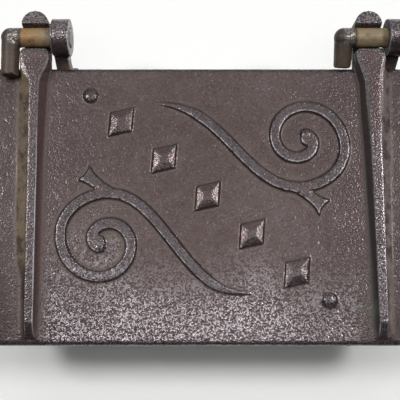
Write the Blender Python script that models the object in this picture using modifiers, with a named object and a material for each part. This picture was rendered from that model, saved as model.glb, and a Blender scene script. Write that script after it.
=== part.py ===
"""Cast iron tool box: a one-piece box and a ribbed, scrolled lid that hooks under two bent hinge pins.

Metres, +Z up. The origin is on the underside of the box, below the middle of the lid.
The front is at -Y and the hinges are at +Y. Each pin turns in the eye of a bracket bolted to the back wall.
"""
import math

import bmesh
import bpy
from mathutils import Matrix, Vector

# Gap left between pieces that touch
SEAT = 0.0003

# Lid plate and the skirt along its front and sides
LID_WIDTH = 0.3048
LID_DEPTH = 0.1788
LID_PLATE = 0.0060
LID_CORNER = 0.0080
LID_EDGE = 0.0030
SKIRT_DROP = 0.0080
SKIRT_WALL = 0.0050

# Box
BOX_HEIGHT = 0.0837
BOX_WALL = 0.0055
BOX_FLOOR = 0.0060
BOX_CORNER = 0.0120
BOX_FOOT = 0.0030
BOX_COVE = 0.0025
BOX_DRAFT = math.radians(3.0)
SKIRT_PLAY = 0.0012
BACK_INSET = 0.0005

# Hinge line: behind the lid's back edge, and in from the lid's sides
PIN_SETBACK = 0.0180
HINGE_INSET = 0.0443

# Hinge pins, forged from round bar, with a leg bent at the left end
PIN_RADIUS = 0.00635
PIN_PROUD = 0.0008
PIN_CHAMFER = 0.0010
ELBOW_GAP = 0.0008
LEG_NECK = 0.00035
LEG_TIP = 0.0057
LEG_ROUND = 0.0015
LEFT_LEG = 0.0255
RIGHT_LEG = 0.0193
RIGHT_LEG_SLOPE = math.radians(25.0)

# Lid hooks, the upturned tongues that lie under the pins
HOOK_STEP = 0.00035
HOOK_ROOT = 0.0080
HOOK_REACH = 0.0170
LUG_RISE = 0.0040
LUG_LEAN = 0.0014
LUG_CHAMFER = 0.0025

# Ribs, from the nose near the front edge to the broad head against the pin
# Places of a rib's front, of its back and of its head, to the right of its hinge's middle
RIB_FRONT_SHIFT = {"left": 0.0016, "right": 0.0039}
RIB_BACK_SHIFT = {"left": 0.0, "right": 0.0026}
RIB_HEAD_SHIFT = {"left": -0.0004, "right": 0.0010}
RIB_NOSE_SETBACK = 0.0030
RIB_NOSE = 0.0115
RIB_NOSE_CURVE = 1.4
RIB_FLARE = 0.0134
RIB_HEAD = 0.0182
RIB_HEAD_SLOPE = 0.0006
RIB_HEAD_ROUND = 0.0024
RIB_TOP_FRONT = 0.0054
RIB_TOP_BACK = {"left": 0.0064, "right": 0.0078}
RIB_BASE_FRONT = 0.0135
RIB_BASE_BACK = 0.0160
RIB_HEIGHT_FRONT = 0.0054
RIB_HEIGHT_BACK = 0.0080
RIB_SINK = 0.0030
RIB_FEATHER = 0.0001

# Brackets: an eye on a gooseneck arm that rises from a leaf on the back wall
EYE_WALL = 0.00525
EYE_WIDTH = 0.0113
EYE_BOSS = 0.0002
EYE_GAP = 0.0024
ARM_WIDTH = 0.0090
ARM_COVER = 0.0020
LEAF_WIDTH = 0.0240
LEAF_THICK = 0.0070
LEAF_CORNER = 0.0060
LEAF_ROOT = 0.0120
ARM_BURY = 0.0005
# Ends of a leaf as shares of the box's height
LEAF_TOP_SHARE = 0.593
LEAF_FOOT_SHARE = 0.143

# Fastenings of the brackets
BOLT_RADIUS = 0.003175
BOLT_HEAD_RADIUS = 0.0065
BOLT_HEAD_RIM = 0.0008
BOLT_HEAD_DOME = 0.0028
BOLT_PROUD = 0.0020
BOLT_CHAMFER = 0.0005
WASHER_RADIUS = 0.0065
WASHER_THICK = 0.0016
NUT_SIDE = 0.0110
NUT_THICK = 0.0055
NUT_EDGE = 0.0006
# Bolts from the ends of a leaf, as a share of its height
BOLT_INSET_SHARE = 0.252

# Ornament stands a little to the right of the lid's middle
ORNAMENT_X = 0.0012

# Scrolls: the lower left one is drawn, and the upper right one is the same turned half round this centre
SCROLL_CENTRE = Vector((0.0, 0.0082))
STROKE_BASE = 0.0080
STROKE_TOP = 0.0058
STROKE_RELIEF = 0.0022
STROKE_SINK = 0.0010
STROKE_STEPS = 10
SCROLL_EYE_RADIUS = 0.0040
SCROLL_EYE_RELIEF = 0.0026
# Places where the volute's middle line is level and upright in turn, from its crown to its eye
VOLUTE = [(-0.0600, 0.0063), (-0.0907, -0.0195), (-0.0660, -0.0467), (-0.0458, -0.0275),
          (-0.0595, -0.0130), (-0.0705, -0.0220), (-0.0660, -0.0280)]
VOLUTE_RADII = [1.0, 1.0, 1.0, 1.02, 1.05, 1.05, 1.0]
# Handle of a quarter turn, as a share of its radius
QUARTER_HANDLE = 0.5523
CROWN_HANDLE = 0.0260
# Tails: the bend, the handle there towards the crown, and the tip
LOWER_TAIL = {"bend": (0.0040, -0.0500), "handle": (-0.0235, 0.0175), "tip": (0.0290, -0.0570)}
UPPER_TAIL = {"bend": (0.0040, -0.0410), "handle": (-0.0230, 0.0140), "tip": (0.0310, -0.0488)}
# Share of the stroke's full size at the bend and at the tip
TAIL_BEND_RADIUS = 0.92
TAIL_TIP_RADIUS = 0.15
TAIL_TIP_HANDLE = 0.0090
# Forked leaf that springs from the crown: outline knots as place, handle before, handle after
LEAF_RELIEF = 0.0018
LEAF_KNOTS = [((-0.0545, 0.0082), (-0.0590, 0.0050), (-0.0615, 0.0103)),
              ((-0.0733, 0.0240), (-0.0708, 0.0172), (-0.0738, 0.0195)),
              ((-0.0798, 0.0149), (-0.0765, 0.0172), (-0.0755, 0.0132)),
              ((-0.0672, 0.0055), (-0.0692, 0.0108), (-0.0640, 0.0048))]

# Row of faceted lozenges across the plate between the scrolls, with a bead at each end
ROW_CENTRE = Vector((0.0025, 0.0045))
ROW_SLOPE = math.radians(-40.9)
ROW_COUNT = 5
ROW_PITCH = 0.0370
LOZENGE_LENGTH = 0.0265
LOZENGE_WIDTH = 0.0195
LOZENGE_SHOULDER = 0.88
LOZENGE_SIDE = 0.0013
LOZENGE_TOP = 0.30
LOZENGE_RELIEF = 0.0026
LOZENGE_SINK = 0.0008
BEAD_PLACE = 2.72
BEAD_RADIUS = 0.0048
BEAD_RELIEF = 0.0020

# Roundness
ROUND_STEPS = 24
SMALL_STEPS = 16
CORNER_STEPS = 4
EDGE_STEPS = 4
THROUGH = 0.0100
WELD = 0.000001

# Places that follow from the sizes above
LID_BOTTOM = BOX_HEIGHT + SEAT
LID_TOP = LID_BOTTOM + LID_PLATE
LID_BACK = LID_DEPTH / 2
LID_FRONT = -LID_DEPTH / 2
LID_SIDE = LID_WIDTH / 2
BOX_SIDE = LID_SIDE - SKIRT_WALL - SKIRT_PLAY
BOX_FRONT = LID_FRONT + SKIRT_WALL + SKIRT_PLAY
BOX_BACK = LID_BACK - BACK_INSET
AXIS_Y = LID_BACK + PIN_SETBACK
AXIS_Z = LID_TOP + PIN_RADIUS + SEAT
GROOVE_RADIUS = PIN_RADIUS + 2 * SEAT
LEG_ROOT = PIN_RADIUS - LEG_NECK
HOOK_WIDTH = RIB_HEAD - 2 * HOOK_STEP
RIB_HEAD_TOP = RIB_HEAD - 2 * RIB_HEAD_SLOPE
BORE_RADIUS = PIN_RADIUS + SEAT
EYE_RADIUS = BORE_RADIUS + EYE_WALL
HINGE_X = LID_SIDE - HINGE_INSET
ELBOW_X = -(RIB_HEAD / 2 + ELBOW_GAP + PIN_RADIUS)
EYE_X = RIB_HEAD / 2 + EYE_GAP + EYE_WIDTH / 2
ARM_X = RIB_HEAD / 2 + EYE_GAP + EYE_BOSS + ARM_WIDTH / 2
PIN_END_X = EYE_X + EYE_WIDTH / 2 + PIN_PROUD
LEAF_TOP_Z = BOX_HEIGHT * LEAF_TOP_SHARE
LEAF_FOOT_Z = BOX_HEIGHT * LEAF_FOOT_SHARE
BOLT_INSET = (LEAF_TOP_Z - LEAF_FOOT_Z) * BOLT_INSET_SHARE
BOLT_HEIGHTS = {"upper": LEAF_TOP_Z - BOLT_INSET, "lower": LEAF_FOOT_Z + BOLT_INSET}
LEAF_FRONT_Y = BOX_BACK + SEAT
LEAF_BACK_Y = LEAF_FRONT_Y + LEAF_THICK
WASHER_Y = LEAF_BACK_Y + SEAT
NUT_Y = WASHER_Y + WASHER_THICK + SEAT
BOLT_HEAD_Y = BOX_BACK - BOX_WALL - SEAT
BOLT_HOLE = BOLT_RADIUS + SEAT
SIDES = {"left": -HINGE_X, "right": HINGE_X}

# Turn a shape drawn in local X and Y to stand in the YZ plane, with its thickness along X
UPRIGHT = Matrix(((0, 0, 1, 0), (1, 0, 0, 0), (0, 1, 0, 0), (0, 0, 0, 1)))
# Stand a shape drawn flat in X and Y upright, with its thickness along Y
STANDING = Matrix(((-1, 0, 0, 0), (0, 0, 1, 0), (0, 1, 0, 0), (0, 0, 0, 1)))
# Turn a shape whose axis is local Z to point along +Y
ALONG_Y = Matrix.Rotation(-math.pi / 2, 4, "X")


def clear_scene():
    """Remove every object and every collection of the scene."""
    for item in list(bpy.data.objects):
        bpy.data.objects.remove(item, do_unlink=True)
    for group in list(bpy.data.collections):
        bpy.data.collections.remove(group)


def new_collection(name):
    """Add a collection to the scene."""
    group = bpy.data.collections.new(name)
    bpy.context.scene.collection.children.link(group)
    return group


def new_material(name, colour, roughness, metallic):
    """Make a Principled material."""
    material = bpy.data.materials.new(name)
    material.use_nodes = True
    shader = material.node_tree.nodes["Principled BSDF"]
    shader.inputs["Base Color"].default_value = (*colour, 1.0)
    shader.inputs["Roughness"].default_value = roughness
    shader.inputs["Metallic"].default_value = metallic
    return material


clear_scene()
PARTS = new_collection("cast_iron_tool_box")
CUTTERS = new_collection("cutters")
CAST_IRON = new_material("cast_iron", (0.115, 0.092, 0.088), 0.55, 0.70)
RUSTY_BAR = new_material("rusty_bar", (0.200, 0.140, 0.085), 0.60, 0.55)
DARK_STEEL = new_material("dark_steel", (0.140, 0.115, 0.100), 0.50, 0.80)


def piece(name, mesh, material):
    """Add a finished sub-part."""
    mesh.materials.clear()
    mesh.materials.append(material)
    item = bpy.data.objects.new(name, mesh)
    PARTS.objects.link(item)
    return item


def shaper(name, mesh):
    """Add a shape that only cuts or joins another piece."""
    item = bpy.data.objects.new(name, mesh)
    item.hide_render = True
    item.display_type = "WIRE"
    CUTTERS.objects.link(item)
    return item


def combine(target, operation, *shapes):
    """Join, cut or trim a piece by other shapes, in order."""
    for shape in shapes:
        step = target.modifiers.new(f"{operation.lower()}_{shape.name}", "BOOLEAN")
        step.operation = operation
        step.solver = "EXACT"
        step.object = shape


def mesh_from(name, bm):
    """Finish a bmesh with its faces pointing out."""
    bmesh.ops.recalc_face_normals(bm, faces=bm.faces)
    mesh = bpy.data.meshes.new(name)
    bm.to_mesh(mesh)
    bm.free()
    mesh.shade_smooth()
    mesh.set_sharp_from_angle(angle=math.radians(35))
    return mesh


def solid_from_curve(name, curve):
    """Turn a filled curve into a closed mesh, with its caps welded on."""
    drawn = bpy.data.objects.new(name, curve)
    bpy.context.scene.collection.objects.link(drawn)
    evaluated = drawn.evaluated_get(bpy.context.evaluated_depsgraph_get())
    mesh = bpy.data.meshes.new_from_object(evaluated)
    bpy.data.objects.remove(drawn, do_unlink=True)
    bm = bmesh.new()
    bm.from_mesh(mesh)
    bpy.data.meshes.remove(mesh)
    bmesh.ops.remove_doubles(bm, verts=bm.verts, dist=WELD)
    return mesh_from(name, bm)


def prism(name, outline, low, high):
    """Extrude a straight-sided outline along local Z."""
    curve = bpy.data.curves.new(name, "CURVE")
    curve.dimensions = "2D"
    curve.fill_mode = "BOTH"
    curve.extrude = (high - low) / 2
    spline = curve.splines.new("POLY")
    spline.points.add(len(outline) - 1)
    for point, (x, y) in zip(spline.points, outline):
        point.co = (x, y, 0.0, 1.0)
    spline.use_cyclic_u = True
    mesh = solid_from_curve(name, curve)
    mesh.transform(Matrix.Translation((0, 0, (low + high) / 2)))
    return mesh


def arc(centre, radius, start, end, steps):
    """Points of an arc, both ends included; angles in degrees."""
    angles = [math.radians(start + (end - start) * k / steps) for k in range(steps + 1)]
    return [(centre[0] + radius * math.cos(a), centre[1] + radius * math.sin(a)) for a in angles]


def block(name, side, front, back, low, high, corner, low_round=0.0, high_round=0.0, draft=0.0, rim=0.0):
    """A block with round corners whose sides and front lean in below the height rim by the draft angle."""
    bm = bmesh.new()
    bmesh.ops.create_cube(bm, size=2.0)
    for vert in bm.verts:
        z = high if vert.co.z > 0 else low
        lean = (rim - z) * math.tan(draft)
        x = math.copysign(side - lean, vert.co.x)
        y = back if vert.co.y > 0 else front + lean
        vert.co = (x, y, z)
    upright = [e for e in bm.edges if abs(e.verts[0].co.z - e.verts[1].co.z) > (high - low) / 2]
    bmesh.ops.bevel(bm, geom=upright, offset=corner, segments=CORNER_STEPS, profile=0.5, affect="EDGES")
    for level, radius in ((low, low_round), (high, high_round)):
        ring = [e for e in bm.edges if all(abs(v.co.z - level) < WELD for v in e.verts)]
        if radius:
            bmesh.ops.bevel(bm, geom=ring, offset=radius, segments=EDGE_STEPS, profile=0.5, affect="EDGES")
    return mesh_from(name, bm)


def cylinder(name, radius, length, steps):
    """A cylinder on local Z, from the origin upwards."""
    bm = bmesh.new()
    bmesh.ops.create_cone(bm, cap_ends=True, segments=steps, radius1=radius, radius2=radius, depth=length,
                          matrix=Matrix.Translation((0, 0, length / 2)))
    return mesh_from(name, bm)


def drill(name, x, y, z, length):
    """A bolt hole along Y that runs past both ends of the length."""
    hole = shaper(name, cylinder(name, BOLT_HOLE, length + 2 * THROUGH, SMALL_STEPS))
    hole.matrix_world = Matrix.Translation((x, y - THROUGH, z)) @ ALONG_Y
    return hole


def turn(item, steps):
    """Spin a profile about its local Z into a turned solid."""
    spin = item.modifiers.new("turn", "SCREW")
    spin.axis = "Z"
    spin.steps = steps
    spin.render_steps = steps
    spin.use_merge_vertices = True
    spin.merge_threshold = WELD
    spin.use_smooth_shade = True


def profile_mesh(name, points):
    """An open profile at +X, from the top of a turned shape to its bottom."""
    mesh = bpy.data.meshes.new(name)
    mesh.from_pydata([(x, 0.0, z) for x, z in points], [(k, k + 1) for k in range(len(points) - 1)], [])
    return mesh


def loft(name, rings):
    """Skin a row of rings that have equal numbers of points, and close both ends."""
    bm = bmesh.new()
    rows = [[bm.verts.new(point) for point in ring] for ring in rings]
    count = len(rows[0])
    for near, far in zip(rows, rows[1:]):
        for k in range(count):
            bm.faces.new((near[k], near[(k + 1) % count], far[(k + 1) % count], far[k]))
    bm.faces.new(rows[0])
    bm.faces.new(rows[-1])
    return mesh_from(name, bm)


def ease(share):
    """A smooth step from 0 to 1."""
    share = min(max(share, 0.0), 1.0)
    return share * share * (3.0 - 2.0 * share)


def mix(a, b, share):
    """Blend two values."""
    return a + (b - a) * share


def box_body():
    """The cast box: drafted walls, a square back wall for the brackets, a coved floor and bolt holes."""
    outer = block("box_body", BOX_SIDE, BOX_FRONT, BOX_BACK, 0.0, BOX_HEIGHT, BOX_CORNER,
                  low_round=BOX_FOOT, draft=BOX_DRAFT, rim=BOX_HEIGHT)
    body = piece("box_body", outer, CAST_IRON)
    inside = block("box_inside", BOX_SIDE - BOX_WALL, BOX_FRONT + BOX_WALL, BOX_BACK - BOX_WALL,
                   BOX_FLOOR, BOX_HEIGHT + THROUGH, BOX_CORNER - BOX_WALL,
                   low_round=BOX_COVE, draft=BOX_DRAFT, rim=BOX_HEIGHT)
    combine(body, "DIFFERENCE", shaper("box_inside", inside))
    for side, hinge_x in SIDES.items():
        for level, z in BOLT_HEIGHTS.items():
            hole = drill(f"wall_hole_{side}_{level}", hinge_x + ARM_X, BOX_BACK - BOX_WALL, z, BOX_WALL)
            combine(body, "DIFFERENCE", hole)
    return body


def rib_mesh(side, hinge_x):
    """A tapered rib with coved flanks, from its nose at the front to its broad head against the pin."""
    front_x = hinge_x + RIB_FRONT_SHIFT[side]
    back_x = hinge_x + RIB_BACK_SHIFT[side]
    head_x = hinge_x + RIB_HEAD_SHIFT[side]
    start = LID_FRONT + RIB_NOSE_SETBACK
    end = AXIS_Y - GROOVE_RADIUS
    nose = [start + RIB_NOSE * k / 6 for k in range(6)]
    run_end = LID_BACK - RIB_FLARE
    run = [mix(start + RIB_NOSE, run_end, k / 6) for k in range(6)]
    head_start = end - RIB_HEAD_ROUND
    flare = [mix(run_end, head_start, k / 8) for k in range(8)]
    head = [end - RIB_HEAD_ROUND * (1.0 - math.sin(math.radians(a))) for a in (0, 30, 60, 90)]
    rings = []
    for y in nose + run + flare + head:
        along = (y - start) / (LID_BACK - start)
        flared = ease((y - run_end) / (head_start - run_end))
        half_top = mix(mix(RIB_TOP_FRONT, RIB_TOP_BACK[side], along), RIB_HEAD_TOP, flared) / 2
        half_base = mix(mix(RIB_BASE_FRONT, RIB_BASE_BACK, along), RIB_HEAD, flared) / 2
        height = mix(RIB_HEIGHT_FRONT, RIB_HEIGHT_BACK, min(along, 1.0))
        short = 1.0 - min((y - start) / RIB_NOSE, 1.0)
        height = mix(-RIB_SINK / 4, height, 1.0 - short ** RIB_NOSE_CURVE)
        past = max(0.0, y - head_start)
        inset = RIB_HEAD_ROUND - math.sqrt(max(0.0, RIB_HEAD_ROUND ** 2 - past ** 2))
        half_top -= inset
        half_base -= inset
        height -= inset / 2
        middle = mix(mix(front_x, back_x, min(along, 1.0)), head_x, flared)
        flank = []
        for k in range(5):
            turn_angle = math.radians(90 * k / 4)
            out = half_top + (half_base - half_top) * (1 - math.sin(turn_angle))
            up = RIB_FEATHER + (height - RIB_FEATHER) * (1 - math.cos(turn_angle))
            flank.append((out, up))
        flank.insert(0, (half_base, -RIB_SINK))
        ring = [(middle + out, y, LID_TOP + up) for out, up in flank]
        ring += [(middle - out, y, LID_TOP + up) for out, up in reversed(flank)]
        rings.append(ring)
    return loft(f"rib_{side}", rings)


def hook(side, hinge_x):
    """The tongue behind a rib: flat under the pin, turned up behind it, and half round at its end."""
    low = LID_BOTTOM + SEAT
    tail = AXIS_Y + HOOK_REACH
    root = LID_BACK - HOOK_ROOT
    lug_top = AXIS_Z + LUG_RISE
    groove = arc((AXIS_Y, AXIS_Z), GROOVE_RADIUS, 0, -90, 5)
    outline = [(root, low), (tail - LUG_CHAMFER, low), (tail, low + LUG_CHAMFER), (tail, lug_top),
               (AXIS_Y + GROOVE_RADIUS + LUG_LEAN, lug_top), *groove, (root, AXIS_Z - GROOVE_RADIUS)]
    mesh = prism(f"hook_{side}", outline, hinge_x - HOOK_WIDTH, hinge_x + HOOK_WIDTH)
    mesh.transform(UPRIGHT)
    half = HOOK_WIDTH / 2
    plan = [(hinge_x - half, root - THROUGH), (hinge_x + half, root - THROUGH),
            *arc((hinge_x, tail - half), half, 0, 180, ROUND_STEPS // 2)]
    tongue = shaper(f"tongue_{side}", prism("tongue", plan, low - THROUGH, lug_top + THROUGH))
    shape = shaper(f"hook_{side}", mesh)
    combine(shape, "INTERSECT", tongue)
    return shape


def stroke_section():
    """The flat-topped section of a scroll's stroke."""
    curve = bpy.data.curves.new("stroke_section", "CURVE")
    curve.dimensions = "2D"
    curve.fill_mode = "NONE"
    outline = [(-STROKE_BASE / 2, -STROKE_SINK), (STROKE_BASE / 2, -STROKE_SINK),
               (STROKE_TOP / 2, STROKE_RELIEF), (-STROKE_TOP / 2, STROKE_RELIEF)]
    spline = curve.splines.new("POLY")
    spline.points.add(len(outline) - 1)
    for point, (x, y) in zip(spline.points, outline):
        point.co = (x, y, 0.0, 1.0)
    spline.use_cyclic_u = True
    return shaper("stroke_section", curve)


def scroll_knots(tail):
    """Knots of a scroll's middle line, from the tip of its tail to the eye: place, handles and size."""
    tip = Vector(tail["tip"])
    bend = Vector(tail["bend"])
    lean = Vector(tail["handle"])
    level = Vector((TAIL_TIP_HANDLE, 0.0))
    forward = lean.normalized() * TAIL_TIP_HANDLE
    knots = [(tip, tip + level, tip - level, TAIL_TIP_RADIUS),
             (bend, bend - forward, bend + lean, TAIL_BEND_RADIUS)]
    places = [Vector(place) for place in VOLUTE]
    for k, place in enumerate(places):
        axis = k % 2
        before = place.copy()
        after = place.copy()
        if k == 0:
            before.x += CROWN_HANDLE
        else:
            before[axis] -= QUARTER_HANDLE * (place - places[k - 1])[axis]
        if k + 1 < len(places):
            after[axis] += QUARTER_HANDLE * (places[k + 1] - place)[axis]
        knots.append((place, before, after, VOLUTE_RADII[k]))
    return knots


def bezier(spline, knots):
    """Set a spline's knots from places and handles in the plane."""
    spline.bezier_points.add(len(knots) - 1)
    for point, knot in zip(spline.bezier_points, knots):
        point.handle_left_type = "FREE"
        point.handle_right_type = "FREE"
        point.co = (*knot[0], 0.0)
        point.handle_left = (*knot[1], 0.0)
        point.handle_right = (*knot[2], 0.0)
        if len(knot) > 3:
            point.radius = knot[3]


def scroll_shapes(name, tail, section, place):
    """One raised scroll: its stroke, its forked leaf and the round end at its eye."""
    line = bpy.data.curves.new(f"{name}_stroke", "CURVE")
    line.dimensions = "3D"
    line.twist_mode = "Z_UP"
    line.resolution_u = STROKE_STEPS
    line.bevel_mode = "OBJECT"
    line.bevel_object = section
    line.use_fill_caps = True
    bezier(line.splines.new("BEZIER"), scroll_knots(tail))
    stroke = shaper(f"{name}_stroke", solid_from_curve(f"{name}_stroke", line))

    flat = bpy.data.curves.new(f"{name}_leaf", "CURVE")
    flat.dimensions = "2D"
    flat.fill_mode = "BOTH"
    flat.resolution_u = STROKE_STEPS // 2
    flat.extrude = LEAF_RELIEF
    outline = flat.splines.new("BEZIER")
    bezier(outline, LEAF_KNOTS)
    outline.use_cyclic_u = True
    leaf = shaper(f"{name}_leaf", solid_from_curve(f"{name}_leaf", flat))

    eye = shaper(f"{name}_eye", dome_mesh(f"{name}_eye", SCROLL_EYE_RADIUS, SCROLL_EYE_RELIEF))
    eye.data.transform(Matrix.Translation((*VOLUTE[-1], 0.0)))
    shapes = [stroke, leaf, eye]
    for shape in shapes:
        shape.matrix_world = place
    return shapes


def dome_mesh(name, radius, relief):
    """A low round boss, half above the plane it sits on."""
    bm = bmesh.new()
    bmesh.ops.create_uvsphere(bm, u_segments=ROUND_STEPS, v_segments=ROUND_STEPS // 2, radius=1.0,
                              matrix=Matrix.Diagonal((radius, radius, relief, 1.0)))
    return mesh_from(name, bm)


def lozenge_mesh(name):
    """A diamond boss with steep sides, four facets and a small flat top."""
    foot = 1.0 + (1.0 - LOZENGE_SHOULDER) * LOZENGE_SINK / LOZENGE_SIDE
    levels = ((foot, -LOZENGE_SINK), (LOZENGE_SHOULDER, LOZENGE_SIDE), (LOZENGE_TOP, LOZENGE_RELIEF))
    half_width = LOZENGE_WIDTH / 2
    half_length = LOZENGE_LENGTH / 2
    return loft(name, [[(half_width * share, 0, z), (0, half_length * share, z),
                        (-half_width * share, 0, z), (0, -half_length * share, z)] for share, z in levels])


def row_shapes(here):
    """The diagonal row of lozenges and its two beads."""
    along = Vector((math.cos(ROW_SLOPE), math.sin(ROW_SLOPE)))
    shapes = []
    for k in range(ROW_COUNT):
        spot = ROW_CENTRE + along * ROW_PITCH * (k - (ROW_COUNT - 1) / 2)
        shape = shaper(f"lozenge_{k + 1}", lozenge_mesh("lozenge"))
        shape.matrix_world = here @ Matrix.Translation((*spot, 0)) @ Matrix.Rotation(ROW_SLOPE, 4, "Z")
        shapes.append(shape)
    for name, end in (("bead_upper", -1), ("bead_lower", 1)):
        spot = ROW_CENTRE + along * ROW_PITCH * BEAD_PLACE * end
        shape = shaper(name, dome_mesh(name, BEAD_RADIUS, BEAD_RELIEF))
        shape.matrix_world = here @ Matrix.Translation((*spot, 0))
        shapes.append(shape)
    return shapes


def lid(axis_empty):
    """The cast lid: a skirted plate with two ribs that end in hinge hooks, and raised ornament."""
    plate = block("lid", LID_SIDE, LID_FRONT, LID_BACK, LID_BOTTOM - SKIRT_DROP, LID_TOP, LID_CORNER,
                  high_round=LID_EDGE)
    cover = piece("lid", plate, CAST_IRON)
    pocket = block("lid_pocket", LID_SIDE - SKIRT_WALL, LID_FRONT + SKIRT_WALL, LID_BACK + THROUGH,
                   LID_BOTTOM - SKIRT_DROP - THROUGH, LID_BOTTOM, LID_CORNER - SKIRT_WALL)
    combine(cover, "DIFFERENCE", shaper("lid_pocket", pocket))
    for side, hinge_x in SIDES.items():
        combine(cover, "UNION", hook(side, hinge_x), shaper(f"rib_{side}", rib_mesh(side, hinge_x)))
    section = stroke_section()
    here = Matrix.Translation((ORNAMENT_X, 0, LID_TOP))
    centre = Matrix.Translation((*SCROLL_CENTRE, 0.0))
    turned = here @ centre @ Matrix.Rotation(math.pi, 4, "Z") @ centre.inverted()
    combine(cover, "UNION", *scroll_shapes("lower_scroll", LOWER_TAIL, section, here))
    combine(cover, "UNION", *scroll_shapes("upper_scroll", UPPER_TAIL, section, turned))
    combine(cover, "UNION", *row_shapes(here))
    cover.data.transform(Matrix.Translation(-axis_empty.location))
    cover.parent = axis_empty
    return cover


def hinge_pin(side, hinge_x, leg_length, leg_angle):
    """A round bar through the bracket's eye, with a ball elbow and a leg; its origin is on the axis."""
    ball = [(x, ELBOW_X - z) for x, z in arc((0.0, 0.0), PIN_RADIUS, 0, 90, 6)]
    end = [(0.0, PIN_END_X), (PIN_RADIUS - PIN_CHAMFER, PIN_END_X), (PIN_RADIUS, PIN_END_X - PIN_CHAMFER)]
    bar = piece(f"hinge_pin_{side}", profile_mesh("hinge_pin", end + ball), RUSTY_BAR)
    turn(bar, ROUND_STEPS)
    bar.matrix_world = Matrix.Translation((hinge_x, AXIS_Y, AXIS_Z)) @ UPRIGHT
    tip = [(LEG_TIP - LEG_ROUND + x, leg_length - LEG_ROUND + z)
           for x, z in arc((0.0, 0.0), LEG_ROUND, 90, 0, 3)]
    outline = [(0.0, leg_length), *tip, (LEG_ROOT, 0.0), (0.0, 0.0)]
    leg = shaper(f"pin_leg_{side}", profile_mesh("pin_leg", outline))
    turn(leg, ROUND_STEPS)
    leg.matrix_world = (Matrix.Translation((hinge_x + ELBOW_X, AXIS_Y, AXIS_Z))
                        @ Matrix.Rotation(leg_angle, 4, "X"))
    combine(bar, "UNION", leg)
    return bar


def hinge_bracket(side, hinge_x):
    """A leaf on the back wall with a gooseneck arm that carries the eye out behind the lid."""
    x = hinge_x + EYE_X
    arm_x = hinge_x + ARM_X
    front = LEAF_FRONT_Y + ARM_BURY
    back = LEAF_BACK_Y - ARM_BURY
    shoulder = LID_BOTTOM - ARM_COVER
    root = LEAF_TOP_Z - LEAF_ROOT
    inner = EYE_RADIUS * 0.96
    eye_front = arc((AXIS_Y, AXIS_Z), inner, 195, 195, 1)[0]
    neck = AXIS_Y - back
    throat = arc((AXIS_Y, AXIS_Z - inner - neck), neck, 180, 90, 6)
    outline = [(front, root), (back, root), *throat, (AXIS_Y, AXIS_Z), eye_front, (front, shoulder)]
    mesh = prism(f"hinge_bracket_{side}", outline, arm_x - ARM_WIDTH / 2, arm_x + ARM_WIDTH / 2)
    mesh.transform(UPRIGHT)
    bracket = piece(f"hinge_bracket_{side}", mesh, CAST_IRON)
    eye = shaper(f"eye_{side}", cylinder("eye", EYE_RADIUS, EYE_WIDTH, ROUND_STEPS + SMALL_STEPS))
    eye.matrix_world = Matrix.Translation((x - EYE_WIDTH / 2, AXIS_Y, AXIS_Z)) @ UPRIGHT
    leaf_shape = block("leaf", LEAF_WIDTH / 2, LEAF_FOOT_Z, LEAF_TOP_Z, LEAF_FRONT_Y, LEAF_BACK_Y,
                       LEAF_CORNER)
    leaf_shape.transform(STANDING)
    leaf = shaper(f"leaf_{side}", leaf_shape)
    leaf.matrix_world = Matrix.Translation((arm_x, 0, 0))
    combine(bracket, "UNION", eye, leaf)
    bore = shaper(f"bore_{side}", cylinder("bore", BORE_RADIUS, EYE_WIDTH + 2 * THROUGH, ROUND_STEPS))
    bore.matrix_world = Matrix.Translation((x - EYE_WIDTH / 2 - THROUGH, AXIS_Y, AXIS_Z)) @ UPRIGHT
    combine(bracket, "DIFFERENCE", bore)
    for level, z in BOLT_HEIGHTS.items():
        combine(bracket, "DIFFERENCE", drill(f"leaf_hole_{side}_{level}", arm_x, LEAF_FRONT_Y, z, LEAF_THICK))
    return bracket


def bolt_profile():
    """Outline of a round-headed bolt, from the end of its shank to the crown of its head."""
    length = NUT_Y + NUT_THICK + BOLT_PROUD - BOLT_HEAD_Y
    shank = [(0.0, length), (BOLT_RADIUS - BOLT_CHAMFER, length), (BOLT_RADIUS, length - BOLT_CHAMFER),
             (BOLT_RADIUS, 0.0), (BOLT_HEAD_RADIUS, 0.0)]
    round_head = arc((0.0, 0.0), 1.0, 0, -90, 4)
    head = [(BOLT_HEAD_RADIUS * x, BOLT_HEAD_DOME * z - BOLT_HEAD_RIM) for x, z in round_head[:-1]]
    return shank + head + [(0.0, -BOLT_HEAD_RIM - BOLT_HEAD_DOME)]


def nut_mesh():
    """A square nut with its edges broken, on the plane it is tightened against."""
    bm = bmesh.new()
    bmesh.ops.create_cube(bm, size=1.0)
    bmesh.ops.scale(bm, verts=bm.verts, vec=(NUT_SIDE, NUT_SIDE, NUT_THICK))
    bmesh.ops.translate(bm, verts=bm.verts, vec=(0, 0, NUT_THICK / 2))
    bmesh.ops.bevel(bm, geom=bm.edges[:], offset=NUT_EDGE, segments=1, profile=0.5, affect="EDGES")
    return mesh_from("bracket_nut", bm)


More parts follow.
